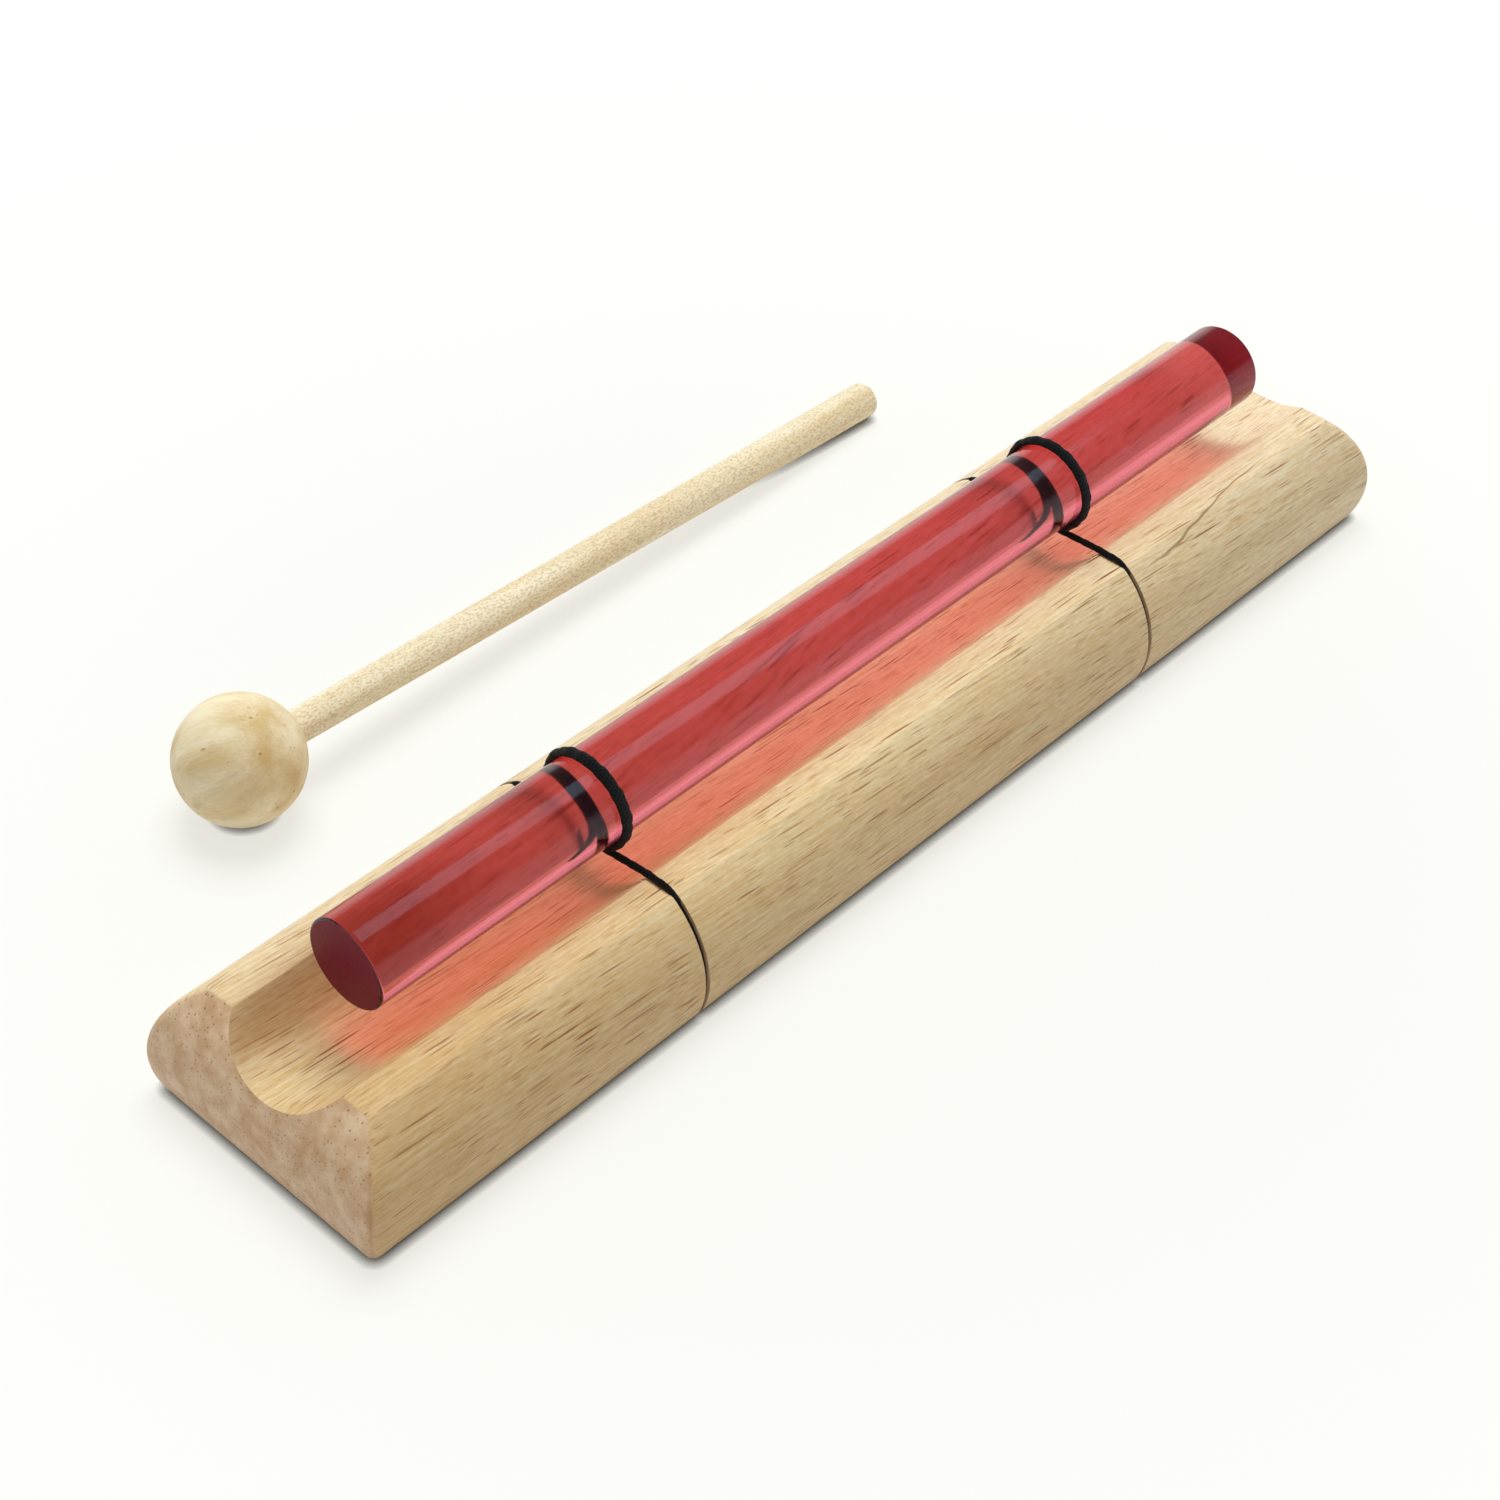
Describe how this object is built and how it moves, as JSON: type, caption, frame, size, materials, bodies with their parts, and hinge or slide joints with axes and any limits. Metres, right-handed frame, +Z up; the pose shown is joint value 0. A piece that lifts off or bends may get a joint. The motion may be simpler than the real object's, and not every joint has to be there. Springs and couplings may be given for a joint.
{
  "type": "chime bar",
  "caption": "Tabletop chime bar: a round red glass rod held by elastic cords over the trough of a moulded wood base, with a wooden ball mallet.",
  "frame": {"origin": "middle of the flat underside of the wood base", "axes": "+X along the base towards the end that is farther from the camera in the picture, +Y across the base towards the mallet, +Z up"},
  "size_m": [0.225, 0.0873, 0.0367],
  "materials": {
    "base_wood": "sanded, oiled matt",
    "red_glass": "polished, transparent red",
    "elastic_cord": "braided matt black",
    "head_wood": "turned, plain",
    "handle_wood": "dowel, plain"
  },
  "bodies": {
    "base": {"wood_base": "base_wood", "near_cord": "elastic_cord", "far_cord": "elastic_cord"},
    "rod": {"glass_rod": "red_glass"},
    "mallet": {"mallet_head": "head_wood", "mallet_handle": "handle_wood"}
  },
  "joints": [
    {"name": "rod_bounce", "type": "slide", "parent": "base", "child": "rod", "axis": [0, 0, 1], "range_m": [-0.004, 0.003], "stiffness_N_per_m": 500, "springref_m": 0.0014, "deforming": ["near_cord", "far_cord"]},
    {"name": "mallet_lift", "type": "slide", "parent": "base", "child": "mallet", "axis": [0, 0, 1], "range_m": [0, 0.15]}
  ]
}
